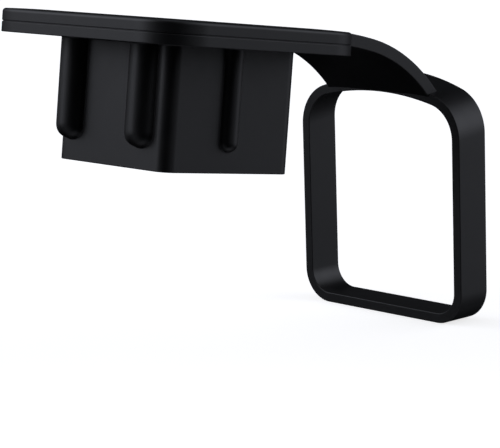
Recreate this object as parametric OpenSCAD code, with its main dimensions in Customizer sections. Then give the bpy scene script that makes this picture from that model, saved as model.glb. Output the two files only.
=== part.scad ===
// Hitch receiver cover: a lid with a hollow ribbed plug, held to the receiver tube by a strap and a band.
// It is one rubber moulding, drawn with the lid swung up and open.
// X runs across the receiver, +Y runs along it towards the vehicle and +Z is up.
// The origin is the centre of the band's opening, halfway along the band.

/* [Lid] */
// Width of the lid across the receiver
lid_w = 80; // [72:0.5:96]
// Length of the lid along the strap
lid_l = 75; // [72:0.5:96]
// Radius of the lid's four corners
lid_corner_r = 13.7; // [8:0.1:16]
// Thickness of the lid's lower layer, which stands below the strap
lid_base_t = 3.2; // [2:0.1:6]
// Rounding of the lid's top edge
lid_edge_r = 1.2; // [0.4:0.1:1.6]
// Height of the parting groove between the lid's layers
seam_h = 0.4; // [0.2:0.05:0.8]
// Depth of the parting groove
seam_d = 0.3; // [0.1:0.05:1]
// Angle of the open lid above level
lid_tilt = 8.4; // [0:0.1:20]

/* [Plug] */
// Width of the plug between its flat side faces
plug_w = 46.3; // [40:0.1:50]
// Length of the plug between its flat front and back faces
plug_l = 48.3; // [40:0.1:50]
// Depth of the plug below the lid
plug_d = 34.4; // [24:0.1:60]
// Radius of the plug's upright corners
plug_corner_r = 3.9; // [3.8:0.1:8]
// Wall thickness of the hollow plug
plug_wall = 3.5; // [2:0.1:5]
// Distance from the lid's strap edge to the middle of the plug
plug_setback = 34.8; // [32:0.1:42]

/* [Ribs] */
// Radius of the two ribs on the front face and the two on the back face
rib_r = 4.8; // [3:0.1:5]
// Radius of the rib on each side face
side_rib_r = 3; // [2.4:0.1:5]
// Depth to which each rib's axis is sunk below the plug's face
rib_sink = 0.3; // [0.1:0.1:1]
// Distance between the axes of the two ribs on one face
rib_spacing = 29.6; // [20:0.1:31]
// Sideways shift of the two ribs from the middle of the plug
rib_shift = -1.9; // [-2:0.1:2]
// Shift of the side ribs towards the lid's free edge
side_rib_shift = 1.5; // [-6:0.1:6]
// Gap between a rib's round end and the plug's rim
rib_end_gap = 5.9; // [2:0.1:12]

/* [Strap] */
// Width of the strap
strap_w = 42.4; // [30:0.1:46]
// Thickness of the strap and of the lid's upper layer
strap_t = 3.7; // [3:0.1:5]
// Straight length of the strap next to the lid
strap_lead = 13.4; // [2:0.1:40]
// Radius of the strap's bend along its middle
strap_bend_r = 50; // [30:0.5:80]
// Steepness of the strap where it meets the band
strap_root_angle = 50; // [40:0.5:65]

/* [Band] */
// Width and height of the band's opening, stretched over the receiver tube
band_opening = 60.3; // [56:0.1:66]
// Wall thickness of the band
band_wall = 3; // [2.4:0.1:4]
// Width of the band along the receiver
band_d = 11.6; // [8:0.1:20]
// Height by which the strap lifts the middle of the band's top
band_bow = 6.8; // [3:0.1:9]
// Outer radius of the band's top corners
band_top_r = 13.5; // [10:0.1:16]
// Outer radius of the band's bottom corners
band_bottom_r = 10; // [6:0.1:16]

/* [Hidden] */
$fn = 96;
arc_steps = 24;
rubber = [0.13, 0.13, 0.14];
overlap = 1;
// The band's outline: straight sides and bottom, and a top that arches through the corners of that square
band_half = band_opening / 2 + band_wall;
arch_r = (band_half * band_half + band_bow * band_bow) / (2 * band_bow);
arch_z = band_half + band_bow - arch_r;
top_corner_x = band_half - band_top_r;
top_corner_z = arch_z + sqrt(pow(arch_r - band_top_r, 2) - pow(top_corner_x, 2));
arch_start = atan2(top_corner_z - arch_z, top_corner_x);
bottom_corner = band_half - band_bottom_r;
band_front_y = -band_d / 2;
// The strap's lower face meets the band's front face at the height of the arch beside the strap
root_z = arch_z + sqrt(pow(arch_r, 2) - pow(strap_w / 2, 2));
bend_y = band_front_y - (strap_bend_r - strap_t / 2) * sin(strap_root_angle);
bend_z = root_z - (strap_bend_r - strap_t / 2) * cos(strap_root_angle);
bend_angle = strap_root_angle - lid_tilt;
// Middle of the lid's strap edge, on its top face
hinge_y = bend_y + (strap_bend_r + strap_t / 2) * sin(lid_tilt) - strap_lead * cos(lid_tilt);
hinge_z = bend_z + (strap_bend_r + strap_t / 2) * cos(lid_tilt) + strap_lead * sin(lid_tilt);
lid_t = strap_t + lid_base_t;
inner_corner_r = max(plug_corner_r - plug_wall, 0.8);
// The strap runs on into the lid past its rounded edge, and its tail runs down into the band's wall
strap_inset = 3 * lid_edge_r;
strap_tail = 2 * band_wall;

// Quarter of an edge profile: a corner of radius r swept about its own axis, with its top edge rounded
module corner_wedge(r, t, edge, start) {
    rotate([0, 0, start])
        rotate_extrude(angle = 90)
            edge_profile(r, t, edge);
}

// Half section of a plate's border, r deep and t high, with its outer top edge rounded
module edge_profile(r, t, edge) {
    if (edge > 0) {
        square([r - edge, t]);
        translate([r - edge, 0])
            square([edge, t - edge]);
        intersection() {
            translate([r - edge, t - edge])
                circle(r = edge);
            translate([r - edge, t - edge])
                square([edge, edge]);
        }
    } else {
        square([r, t]);
    }
}

// Straight border of a plate, len long, standing along +X with its outer face at +Y
module side_bar(len, r, t, edge) {
    rotate([90, 0, 90])
        linear_extrude(height = len, center = true)
            edge_profile(r, t, edge);
}

// Plate with round corners and a rounded top edge, centred on the origin with its underside at z = 0
module plate(w, l, r, t, edge) {
    flat_x = w - 2 * r;
    flat_y = l - 2 * r;
    translate([-flat_x / 2, -flat_y / 2, 0])
        cube([flat_x, flat_y, t]);
    for (side = [-1, 1]) {
        translate([0, side * flat_y / 2, 0])
            rotate([0, 0, side > 0 ? 0 : 180])
                side_bar(flat_x, r, t, edge);
        translate([side * flat_x / 2, 0, 0])
            rotate([0, 0, side > 0 ? -90 : 90])
                side_bar(flat_y, r, t, edge);
    }
    for (quarter = [0:3])
        translate([(quarter == 0 || quarter == 3 ? 1 : -1) * flat_x / 2, (quarter < 2 ? 1 : -1) * flat_y / 2, 0])
            corner_wedge(r, t, edge, 90 * quarter);
}

// Two layers with the parting groove between them, in the lid's own frame: its top face is z = 0
module lid() {
    translate([0, -lid_l / 2, -lid_t]) {
        plate(lid_w, lid_l, lid_corner_r, lid_base_t - seam_h, 0);
        translate([0, 0, lid_base_t - seam_h])
            plate(lid_w - 2 * seam_d, lid_l - 2 * seam_d, lid_corner_r - seam_d, seam_h, 0);
        translate([0, 0, lid_base_t])
            plate(lid_w, lid_l, lid_corner_r, strap_t, lid_edge_r);
    }
}

// Round rib along -Z from z = 0, ending in a half ball
module rib(r) {
    run = plug_d - rib_end_gap - r;
    translate([0, 0, -run])
        cylinder(r = r, h = run);
    translate([0, 0, -run])
        difference() {
            sphere(r = r);
            translate([-2 * r, -2 * r, 0])
                cube([4 * r, 4 * r, 2 * r]);
        }
}

module ribs() {
    for (side = [-1, 1]) {
        for (pair = [-1, 1])
            translate([rib_shift + pair * rib_spacing / 2, side * (plug_l / 2 - rib_sink), 0])
                rib(rib_r);
        translate([side * (plug_w / 2 - rib_sink), -side_rib_shift, 0])
            rib(side_rib_r);
    }
}

// Hollow plug with its ribs, hanging from z = 0 and open at its lower end
module plug() {
    inner_w = plug_w - 2 * plug_wall;
    inner_l = plug_l - 2 * plug_wall;
    difference() {
        union() {
            translate([0, 0, -plug_d])
                plate(plug_w, plug_l, plug_corner_r, plug_d, 0);
            ribs();
        }
        translate([0, 0, -plug_d - overlap])
            plate(inner_w, inner_l, inner_corner_r, plug_d + overlap, 0);
    }
}

// Points of an arc about (x, z) from angle a0 to angle a1
function arc(x, z, r, a0, a1) =
    [for (i = [0:arc_steps]) let (a = a0 + (a1 - a0) * i / arc_steps) [x + r * cos(a), z + r * sin(a)]];

// The same arc without its two end points
function arc_between(x, z, r, a0, a1) =
    let (points = arc(x, z, r, a0, a1)) [for (i = [1:arc_steps - 1]) points[i]];

// Outline of the band seen along the receiver, drawn inset by the given depth
function band_outline(inset) = concat(
    arc(top_corner_x, top_corner_z, band_top_r - inset, 0, arch_start),
    arc_between(0, arch_z, arch_r - inset, arch_start, 180 - arch_start),
    arc(-top_corner_x, top_corner_z, band_top_r - inset, 180 - arch_start, 180),
    arc(-bottom_corner, -bottom_corner, band_bottom_r - inset, 180, 270),
    arc(bottom_corner, -bottom_corner, band_bottom_r - inset, 270, 360)
);

module band() {
    rotate([90, 0, 0])
        linear_extrude(height = band_d, center = true)
            difference() {
                polygon(band_outline(0));
                polygon(band_outline(band_wall));
            }
}

// Side outline of the strap in the lid's own frame: straight out of the lid, bent down, then its tail
function strap_outline() =
    let (
        middle_z = -strap_t / 2 - strap_bend_r,
        end_angle = 90 - bend_angle,
        outer_r = strap_bend_r + strap_t / 2,
        inner_r = strap_bend_r - strap_t / 2,
        tail = [strap_tail * cos(bend_angle), -strap_tail * sin(bend_angle)],
        upper = arc(strap_lead, middle_z, outer_r, 90, end_angle),
        lower = arc(strap_lead, middle_z, inner_r, end_angle, 90)
    )
    concat(
        [[-strap_inset, 0]],
        upper,
        [upper[arc_steps] + tail, lower[0] + tail],
        lower,
        [[-strap_inset, -strap_t]]
    );

module strap() {
    rotate([90, 0, 90])
        linear_extrude(height = strap_w, center = true)
            polygon(strap_outline());
}

// Places the lid's own frame, whose origin is the middle of the lid's strap edge on its top face
module in_lid_frame() {
    translate([0, hinge_y, hinge_z])
        rotate([-lid_tilt, 0, 0])
            children();
}

// Space inside the arch that the strap's tail must leave clear: it reaches half into the band's wall
module under_arch() {
    translate([0, band_d, arch_z])
        rotate([90, 0, 0])
            cylinder(r = arch_r - band_wall / 2, h = 2 * band_d);
}

module hitch_cover() {
    color(rubber) {
        in_lid_frame() {
            lid();
            translate([0, -plug_setback, -lid_t])
                plug();
        }
        difference() {
            in_lid_frame()
                strap();
            under_arch();
        }
        band();
    }
}

hitch_cover();
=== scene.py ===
"""Hitch receiver cover, dressed for rendering: one black rubber moulding with its lid swung open.

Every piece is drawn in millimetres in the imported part's frame and scaled to metres when its mesh is made.
"""
import math

import bpy
import numpy as np
from mathutils import Matrix


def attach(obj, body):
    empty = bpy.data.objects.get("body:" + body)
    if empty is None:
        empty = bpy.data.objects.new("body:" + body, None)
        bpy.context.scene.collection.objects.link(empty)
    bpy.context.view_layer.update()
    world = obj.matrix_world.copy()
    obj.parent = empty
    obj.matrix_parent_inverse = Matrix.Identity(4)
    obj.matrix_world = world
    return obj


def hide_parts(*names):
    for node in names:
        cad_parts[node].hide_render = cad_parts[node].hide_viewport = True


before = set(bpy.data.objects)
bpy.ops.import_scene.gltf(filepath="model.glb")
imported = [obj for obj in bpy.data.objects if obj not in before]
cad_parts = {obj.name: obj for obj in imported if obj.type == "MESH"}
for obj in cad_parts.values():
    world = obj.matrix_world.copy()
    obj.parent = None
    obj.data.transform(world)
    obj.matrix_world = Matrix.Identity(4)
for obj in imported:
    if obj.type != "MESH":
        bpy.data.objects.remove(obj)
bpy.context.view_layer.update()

MM = 0.001
NODE = "hitch_cover"

# Lid: its own frame has its origin at the middle of the strap edge, on the top face
LID_W, LID_L, LID_CORNER_R = 79.9, 75.0, 13.7
LID_TOP_T, LID_BASE_T = 3.7, 3.2
LID_T = LID_TOP_T + LID_BASE_T
LID_EDGE_R, LID_FOOT_R = 1.0, 0.2
LID_TILT, LID_ROLL = math.radians(8.2), math.radians(0.32)
HINGE_Y, HINGE_Z = -48.355, 59.49
# The top face falls by the crown over this reach, down to its rounded edge
LID_CROWN, CROWN_REACH = 0.25, 12.0
# Parting groove, and its lips as (inset, distance out of the groove)
GROOVE_H, GROOVE_D = 0.3, 0.3
GROOVE_LIP = ((0, 0.2), (0, 0.1), (0.04, 0.03), (0.12, 0), (GROOVE_D, -0.04))

# Plug: its upper end reaches into the lid by the root
PLUG_W, PLUG_L, PLUG_D, PLUG_CORNER_R, PLUG_WALL = 46.3, 47.5, 34.4, 3.9, 3.5
PLUG_SETBACK, PLUG_ROOT = 35.2, 0.6
PLUG_RIM_R, PLUG_FOOT_R = 0.2, 0.5

# Ribs: their lower ends are a little fuller than half balls, which a power above 1 does
RIB_R, SIDE_RIB_R, RIB_SINK, RIB_SPACING = 4.8, 3.0, 0.3, 29.6
RIB_SHIFT, SIDE_RIB_SHIFT, RIB_END_GAP = -1.9, 1.1, 5.9
RIB_BLEND, RIB_END_POWER = 0.3, 1.35

# Strap: a gentle arc out of the lid, then a tighter one down to the band, as (radius, sweep in degrees)
STRAP_W, STRAP_T, STRAP_EDGE_R = 42.4, 3.7, 0.2
STRAP_ARCS = ((129.8, 8.8), (51.7, 33.8))
STRAP_TAIL, STRAP_RISE = 5.0, 9.0
# The strap's end inside the lid as (distance back from the lid's edge, depth sunk)
STRAP_ANCHOR = ((2.6, 0.7), (1.9, 0.1), (1.35, 0.003), (LID_EDGE_R, 0), (0.6, 0), (0, 0))

# Band: its top wall bows up under the strap, more along its back edge than along its front edge
BAND_OPENING, BAND_WALL, BAND_D, BAND_EDGE_R = 60.3, 3.0, 11.6, 0.2
BAND_HALF = BAND_OPENING / 2 + BAND_WALL
BAND_BOW, BAND_TWIST = 6.8, 1.3
BAND_TOP_R, BAND_BOTTOM_R = 13.5, 10.0

# Meshes: edges sharper than this stay sharp, and flat faces carry a holding line this far from each
# rounded edge, which keeps their shading flat
SHARP_ANGLE = math.radians(40)
HOLD = 0.1

# Soft lights round the part as (azimuth, elevation, strength), azimuths anticlockwise from +X
SOFT_BOXES = ((-127, 29, 1.76), (-165, 30, 0.4), (-165, 0, 0.1), (-93, -30, 0.22),
              (51, 28, 0.94), (15, 30, 0.6), (60, 0, 0.45), (120, 0, 0.05), (36, -60, 0.2),
              (-43, -78, 0.25), (0, 90, 0.5))
SOFT_SPREAD = 36
STUDIO_TINT = (0.96, 0.99, 1.1)
FLOOR_REACH, FLOOR_TONE = 3000, 0.75

# Camera: its axes and its place in the part's frame, in metres, and its lens in mm
CAMERA_RIGHT, CAMERA_UP = (0.6810, 0.7317, -0.0296), (-0.1148, 0.1467, 0.9825)
CAMERA_BACK = (0.7232, -0.6657, 0.1839)
CAMERA_PLACE = (0.49895, -0.51938, 0.12960)
CAMERA_LENS, CAMERA_SENSOR = 170.4, 36


# Plane curves

def arc(centre, radius, start, end, steps):
    """Points of an arc between two angles in degrees."""
    a = np.radians(np.linspace(start, end, steps + 1))
    return np.stack([centre[0] + radius * np.cos(a), centre[1] + radius * np.sin(a)], axis=1)


def round_edge(radius, steps):
    """Quarter round of an edge as (inset, depth), from its side face to its end face."""
    angles = np.radians(np.linspace(0, 90, steps + 1))
    return [(radius * (1 - math.cos(a)), radius * (1 - math.sin(a))) for a in angles]


def held_span(begin, end, steps):
    """Places between two ends, evenly spread but for one just inside each end. The ends are left out."""
    inside = [k / steps for k in range(1, steps)]
    hold = HOLD / np.linalg.norm(end - begin)
    return [begin + (end - begin) * share for share in [hold] + inside + [1 - hold]]


def rounded_rect(width, length, radius, corner_steps, side_steps):
    """Closed outline of a rectangle with round corners, centred on the origin and running anticlockwise."""
    x, y = width / 2 - radius, length / 2 - radius
    corners = [((x, y), 0), ((-x, y), 90), ((-x, -y), 180), ((x, -y), 270)]
    points = []
    for i, (centre, start) in enumerate(corners):
        points.extend(arc(centre, radius, start, start + 90, corner_steps))
        following, next_start = corners[(i + 1) % 4]
        begin, end = points[-1], arc(following, radius, next_start, next_start + 90, 1)[0]
        points.extend(held_span(begin, end, side_steps))
    return np.array(points)


# Frames

def in_lid_frame(points):
    """Moves points from the lid's own frame to the part's frame."""
    x, y, z = np.asarray(points, float).T
    x, z = x * math.cos(LID_ROLL) - z * math.sin(LID_ROLL), x * math.sin(LID_ROLL) + z * math.cos(LID_ROLL)
    c, s = math.cos(LID_TILT), math.sin(LID_TILT)
    return np.stack([x, HINGE_Y + y * c + z * s, HINGE_Z - y * s + z * c], axis=1)


# Meshes

def add_mesh(name, vertices, faces):
    """Makes a smooth-shaded mesh object from points in millimetres."""
    mesh = bpy.data.meshes.new(name)
    mesh.from_pydata((np.asarray(vertices) * MM).tolist(), [], faces)
    mesh.validate()
    mesh.shade_smooth()
    mesh.set_sharp_from_angle(angle=SHARP_ANGLE)
    obj = bpy.data.objects.new(name, mesh)
    bpy.context.scene.collection.objects.link(obj)
    return obj


def ring_mesh(name, rings, closed):
    """Skins equal rings in order. An open row of rings gets a fan at each end, a closed one joins up."""
    count = len(rings[0])
    vertices = [point for ring in rings for point in ring]
    faces = []
    spans = len(rings) if closed else len(rings) - 1
    for i in range(spans):
        a, b = i * count, (i + 1) % len(rings) * count
        for k in range(count):
            n = (k + 1) % count
            faces.append((a + k, a + n, b + n, b + k))
    if not closed:
        for ring, start, forward in ((rings[0], 0, False), (rings[-1], (len(rings) - 1) * count, True)):
            middle = len(vertices)
            vertices.append(np.mean(ring, axis=0))
            for k in range(count):
                n = (k + 1) % count
                faces.append((start + k, start + n, middle) if forward else (start + n, start + k, middle))
    return add_mesh(name, vertices, faces)


# Lid

def lid_profile():
    """The lid's border as (inset, height) from its crowned top face round to its underside."""
    crown = [(LID_EDGE_R + inset, -LID_CROWN * (1 - inset / CROWN_REACH) ** 2)
             for inset in (CROWN_REACH, 10, 8, 6, 4, 2.5, 1.2, 0.3)]
    edge = [(inset, -LID_CROWN - depth) for inset, depth in reversed(round_edge(LID_EDGE_R, 8))]
    side = [(0, -LID_CROWN - LID_EDGE_R - HOLD)]
    side += [(inset, -LID_TOP_T + out) for inset, out in GROOVE_LIP]
    side += [(inset, -LID_TOP_T - GROOVE_H - out) for inset, out in reversed(GROOVE_LIP)]
    side += [(0, -LID_T + LID_FOOT_R + HOLD)]
    foot = [(inset, -LID_T + depth) for inset, depth in round_edge(LID_FOOT_R, 5)]
    return crown + edge + side + foot + [(LID_FOOT_R + HOLD, -LID_T)]


def make_lid():
    """The lid as rings from the middle of its top face, over its border, to the middle of its underside."""
    profile = lid_profile()
    plans = [(share, profile[0]) for share in (0.3, 0.65)]
    plans += [(1, place) for place in profile]
    plans += [(share, profile[-1]) for share in (0.9, 0.65, 0.3)]
    rings = []
    for share, (inset, height) in plans:
        ring = rounded_rect(LID_W - 2 * inset, LID_L - 2 * inset, LID_CORNER_R - inset, 20, 20)
        rings.append(np.column_stack([ring * share, np.full(len(ring), height)]))
    middle = np.array([0, -LID_L / 2, 0])
    return ring_mesh("lid", [in_lid_frame(ring + middle) for ring in reversed(rings)], closed=False)


# Plug

def rib_axes():
    """(x, y, radius) of each rib's axis in the plug's own plan."""
    axes = []
    for side in (-1, 1):
        front = side * (PLUG_L / 2 - RIB_SINK)
        axes += [(RIB_SHIFT + pair * RIB_SPACING / 2, front, RIB_R) for pair in (-1, 1)]
        axes.append((side * (PLUG_W / 2 - RIB_SINK), -SIDE_RIB_SHIFT, SIDE_RIB_R))
    return axes


def side_stations(rib_centres, end):
    """Places along one face of the plug from -end to end, close together at its ribs."""
    places = list(np.linspace(-end, end, 24))
    for centre, radius in rib_centres:
        places += [centre + radius * math.sin(a) for a in np.radians(np.arange(-90, 91, 5))]
        for gap in (0.1, 0.2, 0.3, 0.5, 0.8, 1.3):
            places += [centre - radius - gap, centre + radius + gap]
    places += [HOLD - end, end - HOLD]
    kept = []
    for place in sorted(p for p in places if -end <= p <= end):
        if not kept or place - kept[-1] > 0.02:
            kept.append(place)
    kept[-1] = end
    return kept


def plug_outline():
    """The plug's plan without ribs, with points where the ribs need them, and its outward normals."""
    half_x, half_y = PLUG_W / 2, PLUG_L / 2
    end_x, end_y = half_x - PLUG_CORNER_R, half_y - PLUG_CORNER_R
    wide = side_stations([(RIB_SHIFT + pair * RIB_SPACING / 2, RIB_R) for pair in (-1, 1)], end_x)
    deep = side_stations([(-SIDE_RIB_SHIFT, SIDE_RIB_R)], end_y)
    # Each face's normal, its distance, the places along it and the centre of the corner that follows it
    faces = (((1, 0), half_x, deep, (end_x, end_y)),
             ((0, 1), half_y, wide[::-1], (-end_x, end_y)),
             ((-1, 0), half_x, deep[::-1], (-end_x, -end_y)),
             ((0, -1), half_y, wide, (end_x, -end_y)))
    points, normals = [], []
    for turn, ((nx, ny), distance, places, (x, y)) in enumerate(faces):
        points += [(nx * distance + abs(ny) * s, ny * distance + abs(nx) * s) for s in places]
        normals += [(nx, ny)] * len(places)
        for a in np.radians(np.linspace(90 * turn, 90 * turn + 90, 25))[1:-1]:
            points.append((x + PLUG_CORNER_R * math.cos(a), y + PLUG_CORNER_R * math.sin(a)))
            normals.append((math.cos(a), math.sin(a)))
    return np.array(points, float), np.array(normals, float)


def smooth_min(a, b, k):
    """The smaller of two distances, with a fillet of about k where they meet."""
    h = np.maximum(k - np.abs(a - b), 0) / k
    return np.minimum(a, b) - h * h * k / 4


def rib_heights(points, normals, depth):
    """How far the ribs stand out of the plug's wall at each outline point, at a depth below the lid."""
    # Distance to the wall and ribs along each normal: the last place below zero is inside the rubber
    reach = np.linspace(0, 6, 121)
    place = points[:, None, :] + normals[:, None, :] * reach[None, :, None]
    value = np.broadcast_to(reach, place.shape[:2])
    for x, y, radius in rib_axes():
        below = radius * (max(0.0, depth - (PLUG_D - RIB_END_GAP - radius)) / radius) ** RIB_END_POWER
        gap = np.sqrt((place[..., 0] - x) ** 2 + (place[..., 1] - y) ** 2 + below ** 2) - radius
        value = smooth_min(value, gap, RIB_BLEND)
    inside = value < 0
    last = np.where(inside.any(axis=1), inside.shape[1] - 1 - np.argmax(inside[:, ::-1], axis=1), 0)
    last = np.minimum(last, len(reach) - 2)
    rows = np.arange(len(points))
    low, high = value[rows, last], value[rows, last + 1]
    share = np.where(high > low, -low / np.maximum(high - low, 1e-9), 0)
    return np.clip(reach[last] + np.clip(share, 0, 1) * (reach[1] - reach[0]), 0, None)


def plug_depths():
    """Depths of the plug's rings below the lid, close together at its foot and at the ribs' round ends."""
    foot = [PLUG_FOOT_R * (1 - math.cos(a)) for a in np.radians(np.linspace(0, 90, 7))] + [PLUG_FOOT_R + HOLD]
    tip = PLUG_D - RIB_END_GAP
    straight = list(np.linspace(PLUG_FOOT_R, tip - RIB_R, 14))[1:]
    ball = [tip - RIB_R * (1 - math.sin(a)) for a in np.radians(np.arange(4, 91, 2))]
    beyond = [tip + gap for gap in (0.1, 0.2, 0.35, 0.5, 0.8, 1.2, 1.8)]
    rest = list(np.linspace(beyond[-1], PLUG_D - PLUG_RIM_R, 5))[1:]
    rest.insert(-1, PLUG_D - PLUG_RIM_R - HOLD)
    return foot + straight + ball + beyond + rest


def make_plug():
    """The plug as rings down its outside with the ribs, round its rim and back up its inside."""
    points, normals = plug_outline()
    rings = []

    def add(plan, depth):
        ring = np.column_stack([plan[:, 0], plan[:, 1] - PLUG_SETBACK, np.full(len(plan), -LID_T - depth)])
        rings.append(in_lid_frame(ring))

    add(points + normals * PLUG_FOOT_R, -PLUG_ROOT)
    for depth in plug_depths():
        rise = 1 - min(depth / PLUG_FOOT_R, 1)
        flare = PLUG_FOOT_R * (1 - math.sqrt(1 - rise ** 2))
        add(points + normals * (rib_heights(points, normals, depth) + flare)[:, None], depth)
    inner = points - normals * PLUG_WALL
    for inset, depth in round_edge(PLUG_RIM_R, 3)[1:]:
        add(points - normals * inset, PLUG_D - depth)
    for inset, depth in reversed(round_edge(PLUG_RIM_R, 3)):
        add(inner + normals * inset, PLUG_D - depth)
    for depth in np.linspace(PLUG_D - PLUG_RIM_R, -PLUG_ROOT, 8)[1:]:
        add(inner, depth)
    return ring_mesh("plug", rings, closed=True)


# Band

def bow_at(y):
    """How far the band's top bows up at a place along the receiver."""
    return BAND_BOW + BAND_TWIST * y / (BAND_D / 2)


def arch(bow):
    """Radius of the band's arched top, and the height of its centre, for a given bow."""
    radius = (BAND_HALF ** 2 + bow ** 2) / (2 * bow)
    return radius, BAND_HALF + bow - radius


def band_outline(inset, bow):
    """The band's outline seen along the receiver, drawn inset, for a top that bows up by the given height."""
    radius, low = arch(bow)
    corner_x = BAND_HALF - BAND_TOP_R
    corner_z = low + math.sqrt((radius - BAND_TOP_R) ** 2 - corner_x ** 2)
    start = math.degrees(math.atan2(corner_z - low, corner_x))
    foot = BAND_HALF - BAND_BOTTOM_R
    side = BAND_HALF - inset
    parts = [
        arc((corner_x, corner_z), BAND_TOP_R - inset, 0, start, 24),
        arc((0, low), radius - inset, start, 180 - start, 40)[1:],
        arc((-corner_x, corner_z), BAND_TOP_R - inset, 180 - start, 180, 24)[1:],
        np.linspace((-side, corner_z), (-side, -foot), 12)[1:],
        arc((-foot, -foot), BAND_BOTTOM_R - inset, 180, 270, 24)[1:],
        np.linspace((-foot, -side), (foot, -side), 12)[1:],
        arc((foot, -foot), BAND_BOTTOM_R - inset, 270, 360, 24)[1:],
        np.linspace((side, -foot), (side, corner_z), 12)[1:-1],
    ]
    return np.concatenate(parts)


def make_band():
    """The band as a closed row of outlines, one for each point of its wall's section."""
    section = rounded_rect(BAND_D, BAND_WALL, BAND_EDGE_R, 4, 4)
    rings = []
    for y, across in section:
        plan = band_outline(BAND_WALL / 2 - across, bow_at(y))
        rings.append(np.column_stack([plan[:, 0], np.full(len(plan), y), plan[:, 1]]))
    return ring_mesh("band", rings[::-1], closed=True)


# Strap

def strap_path():
    """Places on the strap's middle surface as (y, z, slope), out of the lid and down to the band."""
    y, z = HINGE_Y - STRAP_T / 2 * math.sin(LID_TILT), HINGE_Z - STRAP_T / 2 * math.cos(LID_TILT)
    start, slope = y, LID_TILT
    path = [(y - back * math.cos(slope) - sunk * math.sin(slope),
             z + back * math.sin(slope) - sunk * math.cos(slope), slope) for back, sunk in STRAP_ANCHOR]
    for radius, sweep in STRAP_ARCS:
        steps = max(8, round(sweep))
        begin = slope
        centre = (y - radius * math.sin(begin), z - radius * math.cos(begin))
        for k in range(1, steps + 1):
            slope = begin + math.radians(sweep) * k / steps
            path.append((centre[0] + radius * math.sin(slope), centre[1] + radius * math.cos(slope), slope))
        y, z = path[-1][:2]
    for along in np.linspace(0, STRAP_TAIL, 11)[1:]:
        path.append((y + along * math.cos(slope), z - along * math.sin(slope), slope))
    return [settle(place, start) for place in path]


def settle(place, start):
    """Lowers the strap next to the lid to the level of the lid's edge, below its crown."""
    y, z, slope = place
    share = min(max((y - start) / STRAP_RISE, 0), 1)
    drop = LID_CROWN * (1 - share * share * (3 - 2 * share))
    return y - drop * math.sin(slope), z - drop * math.cos(slope), slope


def inside_band(points):
    """Lifts the strap's tail to stay in the band's top wall, clear of its opening."""
    x, y, z = points.T
    radius, low = arch(bow_at(np.clip(y, -BAND_D / 2, BAND_D / 2)))
    middle = low + np.sqrt((radius - BAND_WALL / 2) ** 2 - x ** 2)
    within = y > -BAND_D / 2 + 0.1
    return np.column_stack([x, y, np.where(within, np.maximum(z, middle), z)])


def make_strap():
    """The strap as a row of upright sections along its path."""
    across, out = rounded_rect(STRAP_W, STRAP_T, STRAP_EDGE_R, 5, 10).T
    rings = []
    for y, z, slope in strap_path():
        ring = np.column_stack([across, y + out * math.sin(slope), z + out * math.cos(slope)])
        rings.append(inside_band(ring))
    return ring_mesh("strap", rings[::-1], closed=False)


# Material

def link(tree, source, output, target, socket):
    """Joins one node's output to another's input, both given by name or number."""
    tree.links.new(source.outputs[output], target.inputs[socket])


def noise(tree, place, scale, detail):
    """A noise texture over the part's own coordinates."""
    texture = tree.nodes.new("ShaderNodeTexNoise")
    texture.inputs["Scale"].default_value = scale
    texture.inputs["Detail"].default_value = detail
    link(tree, place, "Object", texture, "Vector")
    return texture


def rubber_material():
    """Matte black moulded rubber: faintly uneven in colour and sheen, with a fine grain in its surface."""
    material = bpy.data.materials.new("black_rubber")
    material.use_nodes = True
    tree = material.node_tree
    shader = tree.nodes["Principled BSDF"]
    shader.inputs["IOR"].default_value = 1.5
    place = tree.nodes.new("ShaderNodeTexCoord")

    tone = tree.nodes.new("ShaderNodeValToRGB")
    dark, light = tone.color_ramp.elements
    dark.position, dark.color = 0.3, (0.0026, 0.0027, 0.0030, 1)
    light.position, light.color = 0.75, (0.0042, 0.0044, 0.0048, 1)
    link(tree, noise(tree, place, 70, 4), "Fac", tone, "Fac")
    link(tree, tone, "Color", shader, "Base Color")

    gloss = tree.nodes.new("ShaderNodeMapRange")
    gloss.inputs["To Min"].default_value = 0.36
    gloss.inputs["To Max"].default_value = 0.46
    link(tree, noise(tree, place, 260, 5), "Fac", gloss, "Value")
    link(tree, gloss, "Result", shader, "Roughness")

    bump = tree.nodes.new("ShaderNodeBump")
    bump.inputs["Strength"].default_value = 0.12
    bump.inputs["Distance"].default_value = 0.06 * MM
    link(tree, noise(tree, place, 2600, 3), "Fac", bump, "Height")
    link(tree, bump, "Normal", shader, "Normal")
    return material


# Studio

def compass(azimuth, elevation):
    """Direction from an azimuth, anticlockwise from +X, and an elevation, in degrees."""
    a, e = math.radians(azimuth), math.radians(elevation)
    return math.cos(a) * math.cos(e), math.sin(a) * math.cos(e), math.sin(e)


def soft_box(tree, place, direction, strength):
    """A round soft light in the surroundings, brightest in its own direction."""
    toward = tree.nodes.new("ShaderNodeVectorMath")
    toward.operation = "DOT_PRODUCT"
    toward.inputs[1].default_value = direction
    link(tree, place, "Generated", toward, 0)
    fade = tree.nodes.new("ShaderNodeMapRange")
    fade.interpolation_type = "SMOOTHSTEP"
    fade.inputs["From Min"].default_value = math.cos(math.radians(SOFT_SPREAD))
    fade.inputs["From Max"].default_value = 1
    fade.inputs["To Min"].default_value = 0
    fade.inputs["To Max"].default_value = strength
    link(tree, toward, "Value", fade, "Value")
    return fade


def choose_for_camera(tree, unseen, seen, output):
    """Sends one shader to camera rays and another to all other rays."""
    path = tree.nodes.new("ShaderNodeLightPath")
    choose = tree.nodes.new("ShaderNodeMixShader")
    link(tree, path, "Is Camera Ray", choose, 0)
    link(tree, unseen, 0, choose, 1)
    link(tree, seen, 0, choose, 2)
    link(tree, choose, 0, output, "Surface")


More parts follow.
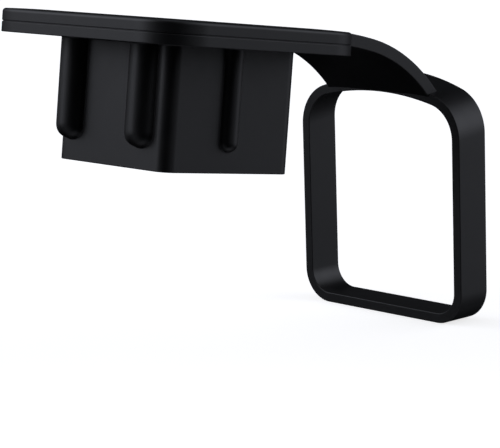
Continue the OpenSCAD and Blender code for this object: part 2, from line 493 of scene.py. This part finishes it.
def make_surroundings():
    """Soft lights all round but for the camera's own side, and a white backdrop for the camera alone."""
    world = bpy.data.worlds.new("studio")
    bpy.context.scene.world = world
    world.use_nodes = True
    tree = world.node_tree
    tree.nodes.clear()
    place = tree.nodes.new("ShaderNodeTexCoord")
    lamps = [soft_box(tree, place, compass(azimuth, elevation), strength)
             for azimuth, elevation, strength in SOFT_BOXES]
    total = lamps[0]
    for lamp in lamps[1:]:
        both = tree.nodes.new("ShaderNodeMath")
        both.operation = "ADD"
        link(tree, total, 0, both, 0)
        link(tree, lamp, 0, both, 1)
        total = both
    light = tree.nodes.new("ShaderNodeBackground")
    light.inputs["Color"].default_value = (*STUDIO_TINT, 1)
    link(tree, total, 0, light, "Strength")
    backdrop = tree.nodes.new("ShaderNodeBackground")
    backdrop.inputs["Color"].default_value = (1, 1, 1, 1)
    backdrop.inputs["Strength"].default_value = 1
    choose_for_camera(tree, light, backdrop, tree.nodes.new("ShaderNodeOutputWorld"))


def make_floor():
    """A pale floor under the band, white to the camera apart from the part's soft shadow."""
    r, level = FLOOR_REACH, -BAND_HALF
    corners = [(-r, -r, level), (r, -r, level), (r, r, level), (-r, r, level)]
    floor = add_mesh("floor", corners, [(0, 1, 2, 3)])
    material = bpy.data.materials.new("pale_floor")
    material.use_nodes = True
    tree = material.node_tree
    tree.nodes.clear()
    surface = tree.nodes.new("ShaderNodeBsdfDiffuse")
    surface.inputs["Color"].default_value = (FLOOR_TONE, FLOOR_TONE, FLOOR_TONE, 1)
    glow = tree.nodes.new("ShaderNodeEmission")
    glow.inputs["Strength"].default_value = FLOOR_TONE
    seen = tree.nodes.new("ShaderNodeAddShader")
    link(tree, surface, 0, seen, 0)
    link(tree, glow, 0, seen, 1)
    unseen = tree.nodes.new("ShaderNodeBsdfTransparent")
    choose_for_camera(tree, unseen, seen, tree.nodes.new("ShaderNodeOutputMaterial"))
    floor.data.materials.append(material)


def make_camera():
    """The photograph's viewpoint: a long lens, a little above the lid and to the front right."""
    camera = bpy.data.objects.new("camera", bpy.data.cameras.new("camera"))
    bpy.context.scene.collection.objects.link(camera)
    rows = list(zip(CAMERA_RIGHT, CAMERA_UP, CAMERA_BACK, CAMERA_PLACE))
    camera.matrix_world = Matrix(rows + [(0, 0, 0, 1)])
    camera.data.lens = CAMERA_LENS
    camera.data.sensor_width = CAMERA_SENSOR
    camera.data.clip_start, camera.data.clip_end = 0.01, 20
    bpy.context.scene.camera = camera


def dress():
    """Makes the moulding's four pieces, all of the same rubber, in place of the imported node."""
    rubber = rubber_material()
    for piece in (make_lid(), make_plug(), make_strap(), make_band()):
        piece.data.materials.append(rubber)
        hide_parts(NODE)
        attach(piece, "root")


make_camera()
make_surroundings()
make_floor()
dress()
bpy.context.scene.view_settings.view_transform = "Standard"
